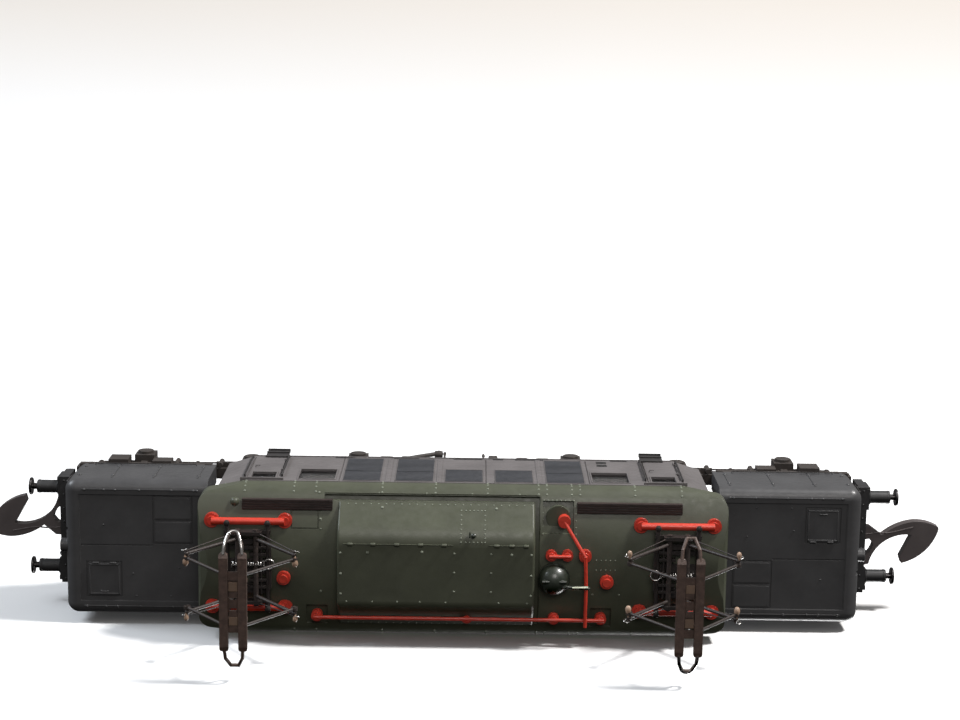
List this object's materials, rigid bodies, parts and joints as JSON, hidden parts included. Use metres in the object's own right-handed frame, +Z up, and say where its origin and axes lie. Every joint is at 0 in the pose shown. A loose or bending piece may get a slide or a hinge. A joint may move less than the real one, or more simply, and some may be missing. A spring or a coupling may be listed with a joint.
{
  "type": "model electric locomotive",
  "caption": "Scale-model articulated electric locomotive: centre body between two swivelling hooded bogies, with raised diamond pantographs, sprung buffers and hook couplers.",
  "frame": {"origin": "under the middle of the locomotive, at the height of the lowest points of the wheel flanges; the rail top is 0.9 mm higher", "axes": "+X along the locomotive towards its front end, +Y to its left side, +Z up"},
  "size_m": [0.1705, 0.0272, 0.0533],
  "materials": {
    "die_cast": "cast, dark",
    "body_grey": "satin moulded plastic",
    "hood_grey": "satin moulded plastic",
    "roof_green": "satin painted",
    "walkway_brown": "matte",
    "louvre_grey": "satin",
    "window_clear": "clear",
    "rail_wire": "painted wire",
    "step_grey": "painted",
    "insulator_red": "glossy",
    "breaker_green": "glossy",
    "motor_steel": "plated",
    "board_green": "lacquered",
    "shaft_steel": "ground",
    "brass": "turned",
    "frame_brown": "matte moulded plastic",
    "beam_grey": "satin moulded plastic",
    "coupler_brown": "matte moulded plastic",
    "buffer_metal": "blackened",
    "wheel_steel": "turned",
    "gear_plastic": "moulded",
    "panto_bronze": "bronzed metal",
    "panto_strip": "bronzed metal"
  },
  "bodies": {
    "centre_body": {"centre_frame": "die_cast", "body_shell": "body_grey", "roof_shell": "roof_green", "roof_box": "roof_green", "roof_walkways": "walkway_brown", "side_louvres": "louvre_grey", "glazing": "window_clear", "door_handrails": "rail_wire", "door_steps": "step_grey", "roof_busbar": "insulator_red", "roof_conductor": "insulator_red", "breaker": "breaker_green", "motor_can": "motor_steel", "circuit_board": "board_green", "front_panto_base": "panto_bronze", "front_panto_insulators": "insulator_red", "rear_panto_base": "panto_bronze", "rear_panto_insulators": "insulator_red"},
    "rotor": {"motor_shaft": "shaft_steel", "flywheels": "brass"},
    "front_bogie": {"front_bogie_frame": "die_cast", "front_keeper_plate": "frame_brown", "front_side_frames": "frame_brown", "front_buffer_beam": "beam_grey", "front_hood": "hood_grey", "front_hood_weight": "die_cast"},
    "front_inner_axle": {"front_inner_wheelset": "wheel_steel"},
    "front_middle_axle": {"front_middle_wheelset": "wheel_steel"},
    "front_outer_axle": {"front_outer_wheelset": "wheel_steel"},
    "front_inner_idler_gear": {"front_inner_idler": "gear_plastic"},
    "front_outer_idler_gear": {"front_outer_idler": "gear_plastic"},
    "front_worm_shaft": {"front_worm": "brass"},
    "front_coupler": {"front_coupler_hook": "coupler_brown"},
    "front_left_buffer": {"front_buffer_left": "buffer_metal"},
    "front_right_buffer": {"front_buffer_right": "buffer_metal"},
    "front_panto_lower_outer_arm": {"front_panto_lower_outer": "panto_bronze"},
    "front_panto_upper_outer_arm": {"front_panto_upper_outer": "panto_bronze"},
    "front_panto_lower_inner_arm": {"front_panto_lower_inner": "panto_bronze"},
    "front_panto_upper_inner_arm": {"front_panto_upper_inner": "panto_bronze"},
    "front_panto_collector": {"front_panto_head": "panto_strip"},
    "rear_bogie": {"rear_bogie_frame": "die_cast", "rear_keeper_plate": "frame_brown", "rear_side_frames": "frame_brown", "rear_buffer_beam": "beam_grey", "rear_hood": "hood_grey", "rear_hood_weight": "die_cast"},
    "rear_inner_axle": {"rear_inner_wheelset": "wheel_steel"},
    "rear_middle_axle": {"rear_middle_wheelset": "wheel_steel"},
    "rear_outer_axle": {"rear_outer_wheelset": "wheel_steel"},
    "rear_inner_idler_gear": {"rear_inner_idler": "gear_plastic"},
    "rear_outer_idler_gear": {"rear_outer_idler": "gear_plastic"},
    "rear_worm_shaft": {"rear_worm": "brass"},
    "rear_coupler": {"rear_coupler_hook": "coupler_brown"},
    "rear_left_buffer": {"rear_buffer_left": "buffer_metal"},
    "rear_right_buffer": {"rear_buffer_right": "buffer_metal"},
    "rear_panto_lower_outer_arm": {"rear_panto_lower_outer": "panto_bronze"},
    "rear_panto_upper_outer_arm": {"rear_panto_upper_outer": "panto_bronze"},
    "rear_panto_lower_inner_arm": {"rear_panto_lower_inner": "panto_bronze"},
    "rear_panto_upper_inner_arm": {"rear_panto_upper_inner": "panto_bronze"},
    "rear_panto_collector": {"rear_panto_head": "panto_strip"}
  },
  "joints": [
    {"name": "motor_spin", "type": "hinge", "parent": "centre_body", "child": "rotor", "pos_m": [0, 0, 0.01428], "axis": [1, 0, 0], "continuous": true},
    {"name": "front_swivel", "type": "hinge", "parent": "centre_body", "child": "front_bogie", "pos_m": [0.0382, 0, 0.0119], "axis": [0, 0, 1], "range_deg": [-5, 5]},
    {"name": "front_inner_axle_spin", "type": "hinge", "parent": "front_bogie", "child": "front_inner_axle", "pos_m": [0.0191, 0, 0.0061], "axis": [0, 1, 0], "continuous": true},
    {"name": "front_middle_axle_spin", "type": "hinge", "parent": "front_bogie", "child": "front_middle_axle", "pos_m": [0.0382, 0, 0.0061], "axis": [0, 1, 0], "continuous": true},
    {"name": "front_outer_axle_spin", "type": "hinge", "parent": "front_bogie", "child": "front_outer_axle", "pos_m": [0.0573, 0, 0.0061], "axis": [0, 1, 0], "continuous": true},
    {"name": "front_inner_idler_spin", "type": "hinge", "parent": "front_bogie", "child": "front_inner_idler_gear", "pos_m": [0.02865, 0, 0.00708], "axis": [0, 1, 0], "continuous": true},
    {"name": "front_outer_idler_spin", "type": "hinge", "parent": "front_bogie", "child": "front_outer_idler_gear", "pos_m": [0.04775, 0, 0.00708], "axis": [0, 1, 0], "continuous": true},
    {"name": "front_worm_spin", "type": "hinge", "parent": "front_bogie", "child": "front_worm_shaft", "pos_m": [0.0472, 0, 0.01428], "axis": [1, 0, 0], "continuous": true},
    {"name": "front_coupler_swing", "type": "hinge", "parent": "front_bogie", "child": "front_coupler", "pos_m": [0.066, 0, 0.00915], "axis": [0, 0, 1], "range_deg": [-3, 11]},
    {"name": "front_left_buffer_slide", "type": "slide", "parent": "front_bogie", "child": "front_left_buffer", "axis": [-1, 0, 0], "range_m": [0, 0.0006], "stiffness_N_per_m": 60},
    {"name": "front_right_buffer_slide", "type": "slide", "parent": "front_bogie", "child": "front_right_buffer", "axis": [-1, 0, 0], "range_m": [0, 0.0006], "stiffness_N_per_m": 60},
    {"name": "front_pantograph_raise", "type": "hinge", "parent": "centre_body", "child": "front_panto_lower_outer_arm", "pos_m": [0.0376, 0, 0.0338], "axis": [0, 1, 0], "range_deg": [0, 45], "stiffness_Nm_per_rad": 0.0003, "springref_deg": -45.84},
    {"name": "front_panto_outer_knee", "type": "hinge", "parent": "front_panto_lower_outer_arm", "child": "front_panto_upper_outer_arm", "pos_m": [0.04484, 0, 0.0428], "axis": [0, 1, 0], "range_deg": [-90, 0]},
    {"name": "front_panto_head_tilt", "type": "hinge", "parent": "front_panto_upper_outer_arm", "child": "front_panto_collector", "pos_m": [0.0376, 0, 0.0518], "axis": [0, 1, 0], "range_deg": [0, 45]},
    {"name": "front_panto_inner_base", "type": "hinge", "parent": "centre_body", "child": "front_panto_lower_inner_arm", "pos_m": [0.0346, 0, 0.0338], "axis": [0, -1, 0], "range_deg": [0, 45]},
    {"name": "front_panto_inner_knee", "type": "hinge", "parent": "front_panto_lower_inner_arm", "child": "front_panto_upper_inner_arm", "pos_m": [0.02736, 0, 0.0428], "axis": [0, -1, 0], "range_deg": [-90, 0]},
    {"name": "rear_swivel", "type": "hinge", "parent": "centre_body", "child": "rear_bogie", "pos_m": [-0.0382, 0, 0.0119], "axis": [0, 0, 1], "range_deg": [-5, 5]},
    {"name": "rear_inner_axle_spin", "type": "hinge", "parent": "rear_bogie", "child": "rear_inner_axle", "pos_m": [-0.0191, 0, 0.0061], "axis": [0, 1, 0], "continuous": true},
    {"name": "rear_middle_axle_spin", "type": "hinge", "parent": "rear_bogie", "child": "rear_middle_axle", "pos_m": [-0.0382, 0, 0.0061], "axis": [0, 1, 0], "continuous": true},
    {"name": "rear_outer_axle_spin", "type": "hinge", "parent": "rear_bogie", "child": "rear_outer_axle", "pos_m": [-0.0573, 0, 0.0061], "axis": [0, 1, 0], "continuous": true},
    {"name": "rear_inner_idler_spin", "type": "hinge", "parent": "rear_bogie", "child": "rear_inner_idler_gear", "pos_m": [-0.02865, 0, 0.00708], "axis": [0, 1, 0], "continuous": true},
    {"name": "rear_outer_idler_spin", "type": "hinge", "parent": "rear_bogie", "child": "rear_outer_idler_gear", "pos_m": [-0.04775, 0, 0.00708], "axis": [0, 1, 0], "continuous": true},
    {"name": "rear_worm_spin", "type": "hinge", "parent": "rear_bogie", "child": "rear_worm_shaft", "pos_m": [-0.0472, 0, 0.01428], "axis": [1, 0, 0], "continuous": true},
    {"name": "rear_coupler_swing", "type": "hinge", "parent": "rear_bogie", "child": "rear_coupler", "pos_m": [-0.066, 0, 0.00915], "axis": [0, 0, 1], "range_deg": [-7, 7]},
    {"name": "rear_left_buffer_slide", "type": "slide", "parent": "rear_bogie", "child": "rear_left_buffer", "axis": [1, 0, 0], "range_m": [0, 0.0006], "stiffness_N_per_m": 60},
    {"name": "rear_right_buffer_slide", "type": "slide", "parent": "rear_bogie", "child": "rear_right_buffer", "axis": [1, 0, 0], "range_m": [0, 0.0006], "stiffness_N_per_m": 60},
    {"name": "rear_pantograph_raise", "type": "hinge", "parent": "centre_body", "child": "rear_panto_lower_outer_arm", "pos_m": [-0.0376, 0, 0.0338], "axis": [0, -1, 0], "range_deg": [0, 45], "stiffness_Nm_per_rad": 0.0003, "springref_deg": -45.84},
    {"name": "rear_panto_outer_knee", "type": "hinge", "parent": "rear_panto_lower_outer_arm", "child": "rear_panto_upper_outer_arm", "pos_m": [-0.04484, 0, 0.0428], "axis": [0, -1, 0], "range_deg": [-90, 0]},
    {"name": "rear_panto_head_tilt", "type": "hinge", "parent": "rear_panto_upper_outer_arm", "child": "rear_panto_collector", "pos_m": [-0.0376, 0, 0.0518], "axis": [0, -1, 0], "range_deg": [0, 45]},
    {"name": "rear_panto_inner_base", "type": "hinge", "parent": "centre_body", "child": "rear_panto_lower_inner_arm", "pos_m": [-0.0346, 0, 0.0338], "axis": [0, 1, 0], "range_deg": [0, 45]},
    {"name": "rear_panto_inner_knee", "type": "hinge", "parent": "rear_panto_lower_inner_arm", "child": "rear_panto_upper_inner_arm", "pos_m": [-0.02736, 0, 0.0428], "axis": [0, 1, 0], "range_deg": [-90, 0]}
  ],
  "couplings": [
    {"joint": "front_inner_axle_spin", "follows": "motor_spin", "ratio": 0.095238},
    {"joint": "front_middle_axle_spin", "follows": "motor_spin", "ratio": 0.095238},
    {"joint": "front_outer_axle_spin", "follows": "motor_spin", "ratio": 0.095238},
    {"joint": "front_inner_idler_spin", "follows": "motor_spin", "ratio": -0.074074},
    {"joint": "front_outer_idler_spin", "follows": "motor_spin", "ratio": -0.074074},
    {"joint": "front_worm_spin", "follows": "motor_spin", "ratio": 1},
    {"joint": "front_panto_outer_knee", "follows": "front_pantograph_raise", "ratio": -2},
    {"joint": "front_panto_head_tilt", "follows": "front_pantograph_raise", "ratio": 1},
    {"joint": "front_panto_inner_base", "follows": "front_pantograph_raise", "ratio": 1},
    {"joint": "front_panto_inner_knee", "follows": "front_pantograph_raise", "ratio": -2},
    {"joint": "rear_inner_axle_spin", "follows": "motor_spin", "ratio": 0.095238},
    {"joint": "rear_middle_axle_spin", "follows": "motor_spin", "ratio": 0.095238},
    {"joint": "rear_outer_axle_spin", "follows": "motor_spin", "ratio": 0.095238},
    {"joint": "rear_inner_idler_spin", "follows": "motor_spin", "ratio": -0.074074},
    {"joint": "rear_outer_idler_spin", "follows": "motor_spin", "ratio": -0.074074},
    {"joint": "rear_worm_spin", "follows": "motor_spin", "ratio": 1},
    {"joint": "rear_panto_outer_knee", "follows": "rear_pantograph_raise", "ratio": -2},
    {"joint": "rear_panto_head_tilt", "follows": "rear_pantograph_raise", "ratio": 1},
    {"joint": "rear_panto_inner_base", "follows": "rear_pantograph_raise", "ratio": 1},
    {"joint": "rear_panto_inner_knee", "follows": "rear_pantograph_raise", "ratio": -2}
  ]
}
